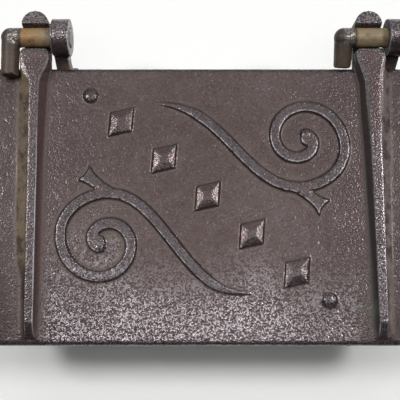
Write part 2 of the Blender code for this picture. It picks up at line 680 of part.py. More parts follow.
def fastening(side, level, x, z):
    """A round-headed bolt from inside the box, with a washer and a square nut outside the leaf."""
    bolt = piece(f"bracket_bolt_{side}_{level}", profile_mesh("bracket_bolt", bolt_profile()), DARK_STEEL)
    turn(bolt, SMALL_STEPS)
    bolt.matrix_world = Matrix.Translation((x, BOLT_HEAD_Y, z)) @ ALONG_Y
    ring = cylinder("bracket_washer", WASHER_RADIUS, WASHER_THICK, SMALL_STEPS)
    washer = piece(f"bracket_washer_{side}_{level}", ring, DARK_STEEL)
    washer.matrix_world = Matrix.Translation((x, WASHER_Y, z)) @ ALONG_Y
    nut = piece(f"bracket_nut_{side}_{level}", nut_mesh(), DARK_STEEL)
    nut.matrix_world = Matrix.Translation((x, NUT_Y, z)) @ ALONG_Y
    hole = drill(f"fastening_hole_{side}_{level}", x, WASHER_Y, z, NUT_Y + NUT_THICK - WASHER_Y)
    combine(washer, "DIFFERENCE", hole)
    combine(nut, "DIFFERENCE", hole)


def main():
    """Build every piece of the tool box."""
    axis_empty = bpy.data.objects.new("lid_hinge_line", None)
    axis_empty.location = (0.0, AXIS_Y, AXIS_Z)
    PARTS.objects.link(axis_empty)
    box_body()
    lid(axis_empty)
    lying = math.pi / 2 + math.asin((PIN_RADIUS - LEG_TIP) / LEFT_LEG)
    hinge_pin("left", SIDES["left"], LEFT_LEG, lying)
    hinge_pin("right", SIDES["right"], RIGHT_LEG, math.pi / 2 + RIGHT_LEG_SLOPE)
    for side, hinge_x in SIDES.items():
        hinge_bracket(side, hinge_x)
        for level, z in BOLT_HEIGHTS.items():
            fastening(side, level, hinge_x + ARM_X, z)


main()
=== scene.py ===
"""Finished look of a cast iron tool box: sand-cast box and lid, forged hinge pins, bolts and a plain stage.

Run as a script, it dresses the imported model. Every piece is in metres and in the frame of that model.
"""
import math
from functools import partial, reduce

import bmesh
import bpy
import numpy as np
from bpy.props import FloatProperty, FloatVectorProperty, IntProperty, PointerProperty
from mathutils import Matrix, Vector


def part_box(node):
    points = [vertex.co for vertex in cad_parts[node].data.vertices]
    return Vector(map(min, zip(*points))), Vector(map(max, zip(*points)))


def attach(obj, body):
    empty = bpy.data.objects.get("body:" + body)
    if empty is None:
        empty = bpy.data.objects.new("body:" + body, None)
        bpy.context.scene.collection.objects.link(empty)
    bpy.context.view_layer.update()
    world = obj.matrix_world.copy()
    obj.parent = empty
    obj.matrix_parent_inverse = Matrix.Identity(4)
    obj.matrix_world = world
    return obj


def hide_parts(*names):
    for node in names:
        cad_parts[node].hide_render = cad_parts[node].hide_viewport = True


bl_info = {
    "name": "Cast Iron Tool Box",
    "version": (1, 0, 0),
    "blender": (4, 5, 0),
    "location": "View3D > Sidebar > Tool Box",
    "description": "Cast, forged and bolted pieces of an old tool box, with their finishes and a plain stage",
    "category": "Object",
}

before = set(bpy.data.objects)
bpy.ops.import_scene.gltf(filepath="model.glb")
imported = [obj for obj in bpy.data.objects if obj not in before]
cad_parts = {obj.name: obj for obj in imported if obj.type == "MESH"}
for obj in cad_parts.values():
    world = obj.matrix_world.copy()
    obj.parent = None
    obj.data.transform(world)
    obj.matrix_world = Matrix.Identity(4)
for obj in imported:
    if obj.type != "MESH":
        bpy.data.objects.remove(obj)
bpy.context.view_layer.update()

SIDES = {"left": -1, "right": 1}  # each side's way along X
LEVELS = ("upper", "lower")
LAMPS = (("ceiling", "ceiling", 1), ("backdrop", "backdrop", 1), ("strip", "strip", 1),
         ("side_right", "side", 1), ("side_left", "side", -1))  # name, settings and way along X
MILLIMETRES = 1000.0  # in a metre
SAME_PLACE = 0.00001  # points nearer than this, in metres, count as one
SAME_TURN = 0.000002  # the same for the points where a turned shape closes
LEVEL = 0.9  # how upright the normal of a level face is at least
HEAD_RING, RUN_RING = 1, 5  # rings of a rib's root where its head ends and its run begins
CORNER_STEPS, COVE_STEPS, FOOT_STEPS, RIM_STEPS = 10, 6, 4, 3  # steps round the box's edges
ROUND_SIDES = 32  # sides of a round hole or swelling
DOME_STEPS = 10  # steps from the rim of a bolt's head to its middle
NUT_REACH = 0.75  # from a nut's axis to past its corners, as a share of its width
CUTTER_PAST = 0.25  # how far a cutter stands past a nut, as a share of its height
EDGE_PASSES = 30  # smoothing passes that take an arris away
HOLLOW_PASSES = 220  # smoothing passes that take the relief away
RELIEF_WEAR = 0.2  # share of the grains that are worn on what stands proud
MIX_INPUTS = (0, 6, 7)  # share, first and second colour of a colour mix
MIX_RESULT = 2  # the mixed colour


def setting_of(kind, **fixed):
    """A maker of one kind of setting, which takes its name, description and default."""
    def setting(name, description, default):
        return kind(name=name, description=description, default=default, **fixed)
    return setting


length = setting_of(FloatProperty, min=0.0, precision=5, unit="LENGTH")
place = setting_of(FloatVectorProperty, size=3, precision=4, subtype="TRANSLATION", unit="LENGTH")
colour = setting_of(FloatVectorProperty, size=3, min=0.0, max=1.0, subtype="COLOR")
power = setting_of(FloatProperty, min=0.0, unit="POWER")
focus = setting_of(FloatProperty, min=1.0, unit="CAMERA")
strength = setting_of(FloatProperty, min=0.0)
count = setting_of(IntProperty, min=0)


def lengths(name, description, default):
    """A row of sizes or places in metres."""
    row_of = setting_of(FloatVectorProperty, size=len(default), precision=5, unit="LENGTH")
    return row_of(name, description, default)


def angle(name, description, degrees):
    """An angle, written in degrees."""
    return setting_of(FloatProperty, subtype="ANGLE")(name, description, math.radians(degrees))


class CastingSettings(bpy.types.PropertyGroup):
    """Sizes of the cast pieces."""

    lid_grid: length("Lid Grid", "Spacing of the points of the lid's skin", 0.00055)
    lid_swell: length("Lid Swell", "Size of the slow unevenness on the lid", 0.018)
    lid_most: count("Lid Triangles", "Most triangles in the lid's skin", 190000)
    lid_top: length("Lid Top", "Height of the lid's plate", 0.0900)
    root_rise: length("Root Rise", "Height of a rib's head above the plate", 0.0079)
    root_fall: length("Root Fall", "How much lower a rib is at the front of its root", 0.0040)
    root_sink: length("Root Sink", "Depth of a rib's root in the plate", 0.0025)
    root_rings: lengths(
        "Root Rings", "Places of the rings of a rib's root, from its head to the front",
        (0.1002, 0.0980, 0.0930, 0.0880, 0.0830, 0.0780, 0.0400, -0.0350, -0.0600))
    left_tops: lengths(
        "Left Tops", "Width of each ring of the left root at its top",
        (0.0150, 0.0188, 0.0188, 0.0167, 0.0119, 0.0066, 0.0061, 0.0050, 0.0046))
    right_tops: lengths(
        "Right Tops", "Width of each ring of the right root at its top",
        (0.0150, 0.0188, 0.0188, 0.0160, 0.0134, 0.0118, 0.0080, 0.0050, 0.0046))
    left_shifts: lengths(
        "Left Shifts", "How far each ring of the left root stands to the right at its top",
        (0.0, 0.0, 0.0, -0.0005, -0.0008, 0.0, 0.0, 0.0, 0.0))
    right_shifts: lengths(
        "Right Shifts", "How far each ring of the right root stands to the right at its top",
        (0.0, 0.0, 0.0, 0.0, 0.0, 0.0, 0.0, 0.0, 0.0))
    root_feet: lengths(
        "Root Feet", "Width of each ring at its foot",
        (0.0150, 0.0190, 0.0190, 0.0204, 0.0226, 0.0226, 0.0211, 0.0180, 0.0100))
    root_leans: lengths(
        "Root Leans", "How far the foot of each ring stands outward",
        (0.0, 0.0, 0.0, 0.0010, 0.0022, 0.0027, 0.0029, 0.0034, 0.0010))
    left_rib: lengths("Left Rib", "Middle of the left rib at its head and before it", (-0.1085, -0.1079))
    right_rib: lengths("Right Rib", "Middle of the right rib at its head and before it", (0.1091, 0.1109))
    left_collar: place("Left Collar", "Middle of the left leaf's neck", (-0.0631, 0.0098, 0.0900))
    right_collar: place("Right Collar", "Middle of the right leaf's neck", (0.0655, 0.0066, 0.0900))
    collar: lengths("Collar", "Length, width and rise of a leaf's neck", (0.0072, 0.0046, 0.0021))
    left_club: place("Left Club", "Middle of the left scroll's club end", (-0.0662, -0.0252, 0.0900))
    right_club: place("Right Club", "Middle of the right scroll's club end", (0.0688, 0.0416, 0.0900))
    club: lengths("Club", "Length, width and rise of a scroll's club end", (0.0102, 0.0092, 0.0022))
    box_grid: length("Box Grid", "Spacing of the points of the box's skin", 0.0010)
    box_swell: length("Box Swell", "Size of the slow unevenness on the box", 0.022)
    box_most: count("Box Triangles", "Most triangles in the box's skin", 150000)
    bracket_grid: length("Bracket Grid", "Spacing of the points of a bracket's skin", 0.00045)
    bracket_swell: length("Bracket Swell", "Size of the slow unevenness on a bracket", 0.009)
    bracket_most: count("Bracket Triangles", "Most triangles in a bracket's skin", 90000)
    rounding: count("Rounding", "Passes that round the arrises", 4)
    ripple: length("Ripple", "Height of the slow unevenness that the sand mould leaves", 0.00022)
    wall: length("Wall", "Thickness of the box's walls", 0.0055)
    floor: length("Floor", "Thickness of the box's floor", 0.0060)
    corner: length("Corner", "Radius of the box's upright corners", 0.0120)
    foot: length("Foot", "Radius of the box's lower edge", 0.0030)
    cove: length("Cove", "Radius where the inside of the walls meets the floor", 0.0025)
    rim: length("Rim", "Radius of the rim's edges", 0.0009)
    draft: angle("Draft", "Lean of the front and sides", 3.0)


class IronSettings(bpy.types.PropertyGroup):
    """Colours of the cast iron, and the spans over which they change. Across is out from the middle."""

    # Pits of the sand, the darker plate margins and lid ends, and also the painted shade at the foot of the
    # relief.
    deep_iron_and_shade: colour("Deep Iron", "Grime at the foot of the relief and pits", (0.022, 0.015, 0.016))
    dark_iron: colour("Dark Iron", "Brown-black skin", (0.086, 0.059, 0.057))
    mid_iron: colour("Iron", "Purple-brown skin", (0.105, 0.075, 0.073))
    pale_iron: colour("Pale Iron", "Lighter skin", (0.123, 0.093, 0.092))
    grey_iron: colour("Grey Iron", "Bluish skin on what stands proud", (0.066, 0.057, 0.062))
    rust: colour("Rust", "Dull tan rust beside the relief", (0.092, 0.064, 0.047))
    # Worn iron also paints the sheen on the grains of the lid's front and a highlight on the ribs' right
    # edges.
    worn: colour("Worn Iron", "Bare metal on rubbed grains and edges", (0.418, 0.386, 0.412))
    # Rust; on the left rib's outer flank it also stands for the light that falls there.
    tan: colour("Tan Rust", "Rust on the left rib's outer flank and on the brackets", (0.270, 0.205, 0.135))
    # Painted shade: the left rib's inner flank, in a rust tint, less dark than the right rib's, which faces
    # away from the light.
    maroon_shade: colour("Maroon Rust", "Rust on the inner flank of the left rib", (0.125, 0.074, 0.069))
    # Painted light: the right rib's outer flank, in a rust tint, lit from the right.
    lit: colour("Lit Flank", "Rust on the outer flank of the right rib", (0.340, 0.270, 0.255))
    shade: colour("Shaded Flank", "Dark inner flank of the right rib", (0.046, 0.039, 0.034))
    # Partly metal worn pale, partly a painted highlight on the front arrises.
    bare_and_highlit: colour("Bare Arris", "Pale metal on the front arrises", (0.600, 0.560, 0.580))
    patina: colour("Patina", "Green stain beside the right rib", (0.095, 0.105, 0.080))
    patina_place: place("Patina Place", "Middle of the green stain", (0.1040, -0.0650, 0.0900))
    patina_size: lengths("Patina Size", "Radius of the stain, and of its strongest part", (0.0110, 0.0033))
    # The pale grains in these spans also paint the sheen of the lid's front.
    worn_front: lengths("Worn Front", "Along Y, where the worn grains begin and are most", (-0.012, -0.082))
    worn_wander: length("Worn Wander", "How far the bound of the worn grains wanders", 0.012)
    worn_sides: lengths("Worn Sides", "Across, where the worn grains end", (0.104, 0.092))
    worn_right: lengths("Worn Right", "Along X, where the worn grains grow fewer", (0.030, 0.090))
    worn_height: lengths("Worn Height", "Up the lid's edge, where the worn grains begin", (0.0860, 0.0895))
    hooks: lengths("Hooks", "Along Y, where the worn hooks and eyes begin", (0.0985, 0.1040))
    hook_backs: lengths("Hook Backs", "Along Y, where the hooks are less worn again", (0.1175, 0.1125))
    rib_inside: lengths("Rib Inside", "Across, where a rib's finish begins", (0.092, 0.098))
    rib_outside: lengths("Rib Outside", "Across, where a rib's finish ends", (0.132, 0.127))
    halves: lengths("Halves", "Along X, from the left rib's colours to the right rib's", (-0.050, 0.050))
    flank_front: lengths("Flank Front", "Along Y, where the left flank's rust fades", (-0.055, -0.030))
    arm_front: lengths("Arm Front", "Along Y, where the brackets begin", (0.0898, 0.0904))
    arm_top: lengths("Arm Top", "Up the brackets, where their tan rust ends", (0.092, 0.084))
    margin: lengths("Margin", "Across, where the plate grows darker", (0.040, 0.104))
    margin_back: lengths("Margin Back", "Along Y, where the darker plate ends", (0.096, 0.090))
    lid_ends: lengths("Lid Ends", "Across, where the lid's dark ends begin", (0.116, 0.126))
    fine_ends: lengths("Fine Ends", "Across, where the grain grows finer", (0.112, 0.124))
    arris_back: lengths("Arris Back", "Along Y, where the bare arrises end", (0.112, 0.106))
    arris_height: lengths("Arris Height", "Up the box, where the arrises grow bare", (0.060, 0.078))
    ridge_back: lengths("Ridge Back", "Along Y, where the ribs' rubbed right edges begin", (0.060, 0.010))


class PinSettings(bpy.types.PropertyGroup):
    """Sizes and colours of the forged pins and of the fastenings."""

    grid: length("Grid", "Spacing of the points of a pin's skin", 0.00040)
    swell: length("Swell", "Size of the marks left by forging", 0.006)
    most: count("Pin Triangles", "Most triangles in a pin's skin", 90000)
    rounding: count("Rounding", "Passes that round the elbow", 5)
    hammering: length("Hammering", "Height of the marks left by forging", 0.00030)
    bend: length("Bend", "From a pin's left end to where its bar begins", 0.0135)
    leg_shift: length("Leg Shift", "How far a leg is knocked in towards the bar", 0.0003)
    shank: length("Shank", "Radius of a bolt's shank", 0.003175)
    bolt_hole: length("Bolt Hole", "Radius of the hole for a bolt", 0.0035)
    bolt_rim: length("Bolt Rim", "Height of the upright rim of a bolt's head", 0.0008)
    under_head: length("Under Head", "From the box's back to the underside of a bolt's head", 0.0058)
    thread_run: length("Thread Run", "Length of a bolt's thread", 0.0110)
    thread_pitch: length("Thread Pitch", "Distance between two ridges of a bolt's thread", 0.00127)
    thread_depth: length("Thread Depth", "Depth of a bolt's thread", 0.00055)
    soft_edge: length("Soft Edge", "Radius of the broken edges of the fastenings", 0.0003)
    nut_chamfer: length("Nut Chamfer", "Height of the turned chamfer on a nut's corners", 0.0020)
    turn_steps: count("Turn Steps", "Steps round a turned piece", 40)
    smooth_angle: angle("Smooth Angle", "Sharpest edge of a fastening that is shaded as a curve", 40.0)
    break_angle: angle("Break Angle", "Flattest edge of a nut that is broken", 25.0)
    brown: colour("Brown Rust", "Skin of the bar beside the bend", (0.285, 0.165, 0.065))
    olive: colour("Olive Rust", "Skin of the bar beside the eye", (0.230, 0.185, 0.115))
    dark: colour("Dark Rust", "Rust in the pits", (0.050, 0.032, 0.022))
    leg: colour("Leg Iron", "Dark skin of the elbow", (0.041, 0.031, 0.026))
    leg_rust: colour("Leg Rust", "Brown skin of the leg's end", (0.068, 0.042, 0.026))
    # Bright steel also paints a highlight on the front of a pin's elbow.
    bright: colour("Bright Steel", "Rubbed metal along the top", (0.520, 0.475, 0.420))
    cut: colour("Cut End", "Plain grey end of a pin", (0.330, 0.310, 0.290))
    steel: colour("Fastening Steel", "Oxidised bolts and nuts", (0.110, 0.092, 0.082))
    leg_end: lengths("Leg End", "From the axis, where the leg turns brown", (-0.006, -0.012))
    bar_start: lengths("Bar Start", "From the bend, where the bar's skin begins", (-0.0005, 0.0015))
    olive_span: lengths("Olive Span", "From the bend and the end, where brown turns olive", (0.002, -0.008))
    olive_right: lengths("Olive Right", "Along X, where a whole pin is olive", (0.0, 0.050))
    cut_face: lengths("Cut Face", "From the end, where its grey face begins", (-0.0016, -0.0008))
    elbow_start: lengths("Elbow Start", "From the bend, where the rubbed elbow begins", (-0.009, -0.006))
    elbow_end: lengths("Elbow End", "From the bend, where the rubbed elbow ends", (0.0, -0.0025))
    elbow_front: lengths("Elbow Front", "From the axis, where the rubbed elbow begins", (-0.007, -0.003))


class StageSettings(bpy.types.PropertyGroup):
    """Camera, lamps and floor."""

    aim: place("Aim", "Point that the camera and the lamps look at", (-0.0012, 0.00185, 0.0900))
    distance: length("Distance", "From the camera to the point it looks at", 0.44586)
    tilt: angle("Tilt", "Lean of the view from straight down", 8.563)
    lens: focus("Lens", "Focal length of the camera, in millimetres", 63.0)
    nearest: length("Nearest", "Nearest distance that the camera sees", 0.01)
    sheet: length("Sheet", "Width of the paper that the box stands on", 8.0)
    floor: colour("Floor", "Paper that the box stands on", (0.980, 0.985, 0.972))
    sky: strength("Sky", "Strength of the light from all round", 0.03)
    ceiling: place("Ceiling", "Middle of the broad lamp above and behind the box", (0.0, 0.38, 1.25))
    ceiling_width: length("Ceiling Width", "Width of the broad lamp", 1.60)
    ceiling_depth: length("Ceiling Depth", "Depth of the broad lamp", 1.00)
    ceiling_power: power("Ceiling Power", "Power of the broad lamp", 5.1)
    backdrop: place("Backdrop", "Middle of the broad lamp behind the box", (0.0, 1.60, 0.80))
    backdrop_width: length("Backdrop Width", "Width of the lamp behind the box", 2.40)
    backdrop_depth: length("Backdrop Height", "Height of the lamp behind the box", 1.40)
    backdrop_power: power("Backdrop Power", "Power of the lamp behind the box", 6.0)
    strip: place("Strip", "Middle of the strip lamp that the lid's front reflects", (0.0, -0.14, 1.00))
    strip_width: length("Strip Width", "Width of the strip lamp", 0.60)
    strip_depth: length("Strip Depth", "Depth of the strip lamp", 0.07)
    strip_power: power("Strip Power", "Power of the strip lamp", 0.9)
    side: place("Side", "Middle of the lamp at the right; another stands at the left", (0.80, 0.21, 1.15))
    side_width: length("Side Width", "Width of a side lamp", 0.24)
    side_depth: length("Side Depth", "Height of a side lamp", 0.20)
    side_power: power("Side Power", "Power of a side lamp", 7.2)


def make_active(item):
    """Select one object alone and make it active."""
    if bpy.context.mode != "OBJECT":
        bpy.ops.object.mode_set(mode="OBJECT")
    bpy.ops.object.select_all(action="DESELECT")
    item.select_set(True)
    bpy.context.view_layer.objects.active = item


def edit(item):
    """Go into edit mode on one object, with all of it selected."""
    make_active(item)
    bpy.ops.object.mode_set(mode="EDIT")
    bpy.ops.mesh.select_all(action="SELECT")


def leave_edit():
    """Go back to object mode."""
    bpy.ops.object.mode_set(mode="OBJECT")


def pick(item, kind, test):
    """Select the faces or edges that pass a test."""
    bpy.ops.mesh.select_mode(type=kind)
    bpy.ops.mesh.select_all(action="DESELECT")
    bm = bmesh.from_edit_mesh(item.data)
    bm.normal_update()
    for part in bm.faces if kind == "FACE" else bm.edges:
        part.select_set(test(part))
    bmesh.update_edit_mesh(item.data)


def finish_with(item, kind, **values):
    """Add a modifier to a piece and apply it."""
    make_active(item)
    step = item.modifiers.new(kind.title(), kind)
    for name, value in values.items():
        setattr(step, name, value)
    bpy.ops.object.modifier_apply(modifier=step.name)


def middle(node):
    """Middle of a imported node's box."""
    low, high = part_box(node)
    return (low + high) / 2


def node_copy(node, name):
    """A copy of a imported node's mesh, with its triangles merged into one skin."""
    item = bpy.data.objects.new(name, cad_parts[node].data.copy())
    bpy.context.scene.collection.objects.link(item)
    edit(item)
    bpy.ops.mesh.remove_doubles(threshold=SAME_PLACE)
    leave_edit()
    return item


def block(name, size, spot):
    """A plain block to shape further, left in edit mode."""
    bpy.ops.object.select_all(action="DESELECT")
    bpy.ops.mesh.primitive_cube_add(size=1.0)
    item = bpy.context.active_object
    item.name = name
    edit(item)
    bpy.ops.transform.resize(value=size, center_override=(0, 0, 0))
    bpy.ops.transform.translate(value=spot)
    return item


def spun(name, profile, steps):
    """Spin an open profile of radius and place along Y into a closed turned shape."""
    mesh = bpy.data.meshes.new(name)
    mesh.from_pydata([(r, y, 0.0) for r, y in profile], [(k, k + 1) for k in range(len(profile) - 1)], [])
    item = bpy.data.objects.new(name, mesh)
    bpy.context.scene.collection.objects.link(item)
    edit(item)
    bpy.ops.mesh.spin(steps=steps, angle=math.tau, axis=(0, 1, 0))
    bpy.ops.mesh.select_all(action="SELECT")
    bpy.ops.mesh.remove_doubles(threshold=SAME_TURN)
    bpy.ops.mesh.normals_make_consistent()
    leave_edit()
    return item


def rows(values, name):
    """A vector of each of a mesh's points, such as its place or its normal, one row each."""
    flat = np.empty(len(values) * 3, np.float32)
    values.foreach_get(name, flat)
    return flat.reshape(-1, 3)


def store(mesh, name, values):
    """Keep a value of each of a mesh's points as an attribute."""
    layer = mesh.attributes.new(name, "FLOAT", "POINT")
    layer.data.foreach_set("value", np.ascontiguousarray(values, np.float32))


def store_relief(item, name, passes):
    """Keep how far each point stands out of a smoothed copy of the skin, in millimetres."""
    here = rows(item.data.vertices, "co")
    out = rows(item.data.vertex_normals, "vector")
    step = item.modifiers.new("Level", "SMOOTH")
    step.iterations = passes
    levelled = item.evaluated_get(bpy.context.evaluated_depsgraph_get()).data
    there = rows(levelled.vertices, "co")
    item.modifiers.remove(step)
    store(item.data, name, ((here - there) * out).sum(axis=1) * MILLIMETRES)


def store_facing(item):
    """Keep how much the skin faces away from the middle, and how much it faces the front."""
    out = rows(item.data.vertex_normals, "vector")
    store(item.data, "outward", out[:, 0] * np.sign(rows(item.data.vertices, "co")[:, 0]))
    store(item.data, "forward", -out[:, 1])


def store_along(item):
    """Keep how far each point lies from the piece's left end, in metres."""
    run = rows(item.data.vertices, "co")[:, 0]
    store(item.data, "along", run - run.min())


def keep_inside(item, node):
    """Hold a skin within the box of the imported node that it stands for."""
    held = np.clip(rows(item.data.vertices, "co"), *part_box(node))
    item.data.vertices.foreach_set("co", held.astype(np.float32).ravel())
    item.data.update()


def skin(item, node, grid, rounding, ripple, ripple_size, most):
    """Turn a sharp solid into a cast or forged skin.

    Its arrises grow soft, its faces slowly uneven, and what its finish needs is kept as attributes.
    """
    finish_with(item, "REMESH", mode="VOXEL", voxel_size=grid)
    finish_with(item, "SMOOTH", iterations=rounding)
    store_relief(item, "edge", EDGE_PASSES)
    store_relief(item, "hollow", HOLLOW_PASSES)
    store_facing(item)
    cloud = bpy.data.textures.new(f"{item.name}_ripple", "CLOUDS")
    cloud.noise_scale = ripple_size
    finish_with(item, "DISPLACE", texture=cloud, texture_coords="LOCAL", strength=ripple)
    triangles = sum(len(face.vertices) - 2 for face in item.data.polygons)
    if triangles > most:
        finish_with(item, "DECIMATE", ratio=most / triangles)
    keep_inside(item, node)
    make_active(item)
    bpy.ops.object.shade_smooth()


def settle(item, node, body, material):
    """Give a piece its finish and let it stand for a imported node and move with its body."""
    item.data.materials.clear()
    item.data.materials.append(material)
    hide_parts(node)
    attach(item, body)


class Finish:
    """A Principled material on Object coordinates, and the patterns and masks that it is made of."""

    def __init__(self, name):
        self.material = bpy.data.materials.new(name)
        self.material.use_nodes = True
        self.tree = self.material.node_tree
        self.spot = self.put("ShaderNodeTexCoord").outputs["Object"]

    def fill(self, socket, value):
        """Link an input to another node's output, or set it to a number, a place or a colour."""
        if isinstance(value, bpy.types.NodeSocket):
            self.tree.links.new(value, socket)
        else:
            socket.default_value = (*value, 1.0) if socket.type == "RGBA" else value

    def put(self, kind, sockets=None, **values):
        """Add a node, with its settings and its inputs."""
        node = self.tree.nodes.new(kind)
        for name, value in values.items():
            setattr(node, name, value)
        for name, value in (sockets or {}).items():
            self.fill(node.inputs[name], value)
        return node

    def axes(self):
        """The place on the piece as three coordinates."""
        return self.put("ShaderNodeSeparateXYZ", {"Vector": self.spot}).outputs

    def attribute(self, name):
        """A value stored on the skin."""
        return self.put("ShaderNodeAttribute", attribute_name=name).outputs["Fac"]

    def noise(self, scale, detail, roughness):
        """A noise pattern; its value is about 0.5 on average."""
        sockets = {"Vector": self.spot, "Scale": scale, "Detail": detail, "Roughness": roughness}
        return self.put("ShaderNodeTexNoise", sockets).outputs["Fac"]

    def ramp(self, value, span, shares=(0.0, 1.0)):
        """A smooth step over a span of a value, from one share to another."""
        names = ("From Min", "From Max", "To Min", "To Max")
        sockets = {"Value": value, **dict(zip(names, (*span, *shares)))}
        return self.put("ShaderNodeMapRange", sockets, interpolation_type="SMOOTHSTEP").outputs["Result"]

    def calc(self, operation, *values):
        """A sum on one or two values."""
        return self.put("ShaderNodeMath", dict(enumerate(values)), operation=operation).outputs["Value"]

    def product(self, *masks):
        """Masks multiplied by one another."""
        return reduce(partial(self.calc, "MULTIPLY"), masks)

    def largest(self, *masks):
        """The largest of several masks."""
        return reduce(partial(self.calc, "MAXIMUM"), masks)

    def blend(self, share, first, second):
        """Mix two colours."""
        sockets = dict(zip(MIX_INPUTS, (share, first, second)))
        return self.put("ShaderNodeMix", sockets, data_type="RGBA").outputs[MIX_RESULT]

    def layers(self, tone, *layers):
        """Lay colours over a tone, each by its mask."""
        for share, layer in layers:
            tone = self.blend(share, tone, layer)
        return tone

    def bump(self, height, strength, distance, under=None):
        """Bumps from a height pattern, on top of other bumps."""
        sockets = {"Height": height, "Strength": strength, "Distance": distance}
        if under is not None:
            sockets["Normal"] = under
        return self.put("ShaderNodeBump", sockets).outputs["Normal"]

    def surface(self, tone, metal, roughness, normal):
        """Give the shader its colour, gloss and bumps."""
        inputs = self.tree.nodes["Principled BSDF"].inputs
        names = ("Base Color", "Metallic", "Roughness", "Normal")
        for name, value in zip(names, (tone, metal, roughness, normal)):
            self.fill(inputs[name], value)
        return self.material


class CastIron(Finish):
    """Sand-cast iron: dark glossy skin, sandy grains, dull rust beside the relief and metal worn pale on
    edges; painted shade at the relief's foot and on the ribs' inner flanks, painted light on their outer
    flanks, a painted sheen on the lid's front and painted highlights on front arrises.
    """

    name = "sand_cast_iron"

    def __init__(self, settings):
        super().__init__(self.name)
        self.settings = settings
        self.cloud = self.noise(scale=14.0, detail=4.0, roughness=0.60)
        self.mottle = self.noise(scale=110.0, detail=5.0, roughness=0.62)
        self.sand = self.noise(scale=950.0, detail=0.8, roughness=0.50)
        self.dust = self.noise(scale=1700.0, detail=2.0, roughness=0.60)
        self.pits = self.noise(scale=240.0, detail=3.0, roughness=0.50)
        self.edge = self.attribute("edge")
        self.hollow = self.attribute("hollow")
        self.outward = self.attribute("outward")
        self.forward = self.attribute("forward")
        self.x, self.y, self.z = self.axes()
        self.across = self.calc("ABSOLUTE", self.x)
        # Left to right: the right rib's flanks take their own colours, so that flanks facing right are
        # painted lighter than those facing left.
        self.right = self.ramp(self.x, settings.halves)
        self.ribbed = self.product(
            self.ramp(self.across, settings.rib_inside),
            self.ramp(self.across, settings.rib_outside, (0.0, 0.85)))
        self.proud = self.ramp(self.hollow, (0.20, 0.70), (0.0, 0.8))

    def make(self):
        """Lay the colours over one another, then add the gloss and the bumps."""
        settings = self.settings
        handled_and_sheen = self.handled_and_sheen()
        sheltered, flank, inner, arm = self.rust()
        rusted = self.largest(sheltered, flank, inner, arm)
        open_skin = self.ramp(rusted, (0.0, 0.8), (1.0, 0.25))
        # Painted shade: dark lines at the foot of the relief, darkest on the faces that look to the front.
        painted_foot_shade = self.product(
            self.ramp(self.edge, (-0.08, -0.24), (0.0, 0.5)),
            self.ramp(self.forward, (-0.35, 0.20), (0.1, 1.0)))
        margin = self.product(
            self.ramp(self.across, settings.margin, (0.0, 0.28)), self.ramp(self.y, settings.margin_back))
        # Pits of the sand, darker where the sheen is painted, as its dark grains.
        pitted = self.product(
            self.ramp(self.sand, (0.48, 0.32)), self.ramp(handled_and_sheen, (0.0, 1.0), (0.35, 0.65)))
        # Pale grains and the ribs' right edges: wear, with a painted sheen and highlight.
        rubbed_and_highlit = self.largest(self.product(self.peaks(handled_and_sheen), open_skin), self.ridge_highlight())
        # Painted highlight, with some wear, on the arrises that face the front.
        arris = self.arris()
        tone = self.blend(self.ramp(self.cloud, (0.36, 0.64)), settings.dark_iron, settings.mid_iron)
        tone = self.layers(
            tone,
            (self.ramp(self.mottle, (0.42, 0.74), (0.0, 0.5)), settings.pale_iron),
            (self.proud, settings.grey_iron),
            (sheltered, settings.rust),
            # Painted light and shade on the ribs' flanks, over a rust tint.
            (flank, self.blend(self.right, settings.tan, settings.lit)),
            (inner, self.blend(self.right, settings.maroon_shade, settings.shade)),
            (arm, settings.tan),
            (self.stain(), settings.patina),
            (painted_foot_shade, settings.deep_iron_and_shade),
            (margin, settings.deep_iron_and_shade),
            (self.ramp(self.across, settings.lid_ends, (0.0, 0.36)), settings.deep_iron_and_shade),
            (pitted, settings.deep_iron_and_shade),
            # Painted sheen and highlights laid over the wear.
            (rubbed_and_highlit, settings.worn),
            (arris, settings.bare_and_highlit))
        dull = self.largest(rusted, painted_foot_shade, arris)
        metal = self.largest(
            self.ramp(dull, (0.0, 1.0), (0.58, 0.0)), self.ramp(rubbed_and_highlit, (0.0, 0.5), (0.0, 0.9)))
        return self.surface(tone, metal, self.ramp(dull, (0.0, 1.0), (0.25, 0.60)), self.bumps(open_skin))

    def handled_and_sheen(self):
        """Where the grains are pale: the lid's front, which wear and a painted sheen share, the hooks and
        eyes, partly painted lighter, and what stands proud.
        """
        settings = self.settings
        wander = (settings.worn_wander, -settings.worn_wander)
        reach = self.calc("ADD", self.y, self.ramp(self.cloud, (0.35, 0.65), wander))
        front = self.product(
            self.ramp(reach, settings.worn_front), self.ramp(self.across, settings.worn_sides),
            self.ramp(self.x, settings.worn_right, (1.0, 0.6)), self.ramp(self.z, settings.worn_height))
        # The hooks and eyes: wear, partly painted lighter.
        hinge = self.product(
            self.ramp(self.y, settings.hooks), self.ramp(self.y, settings.hook_backs, (0.4, 0.85)))
        on_rib = self.product(
            self.ramp(self.ribbed, (0.0, 0.5)), self.ramp(self.right, (0.0, 1.0), (0.35, 0.75)))
        return self.largest(front, hinge, self.product(self.proud, self.largest(on_rib, RELIEF_WEAR)))

    def rust(self):
        """Masks of the rust at the relief's foot and on the brackets below their eyes, and of the ribs' outer
        and inner flanks, which are painted lighter and darker as light and shade.
        """
        settings = self.settings
        sheltered = self.product(
            self.ramp(self.hollow, (0.0, -0.60)), self.ramp(self.cloud, (0.30, 0.60), (0.3, 0.8)),
            self.ramp(self.outward, (-0.30, -0.08)))
        # Outer flanks: rust, painted lighter as the side that the light falls on.
        flank = self.product(
            self.ramp(self.outward, (0.12, 0.40)), self.ribbed,
            self.ramp(self.mottle, (0.36, 0.58), (0.45, 1.0)),
            self.largest(self.ramp(self.y, settings.flank_front, (0.3, 1.0)), self.right))
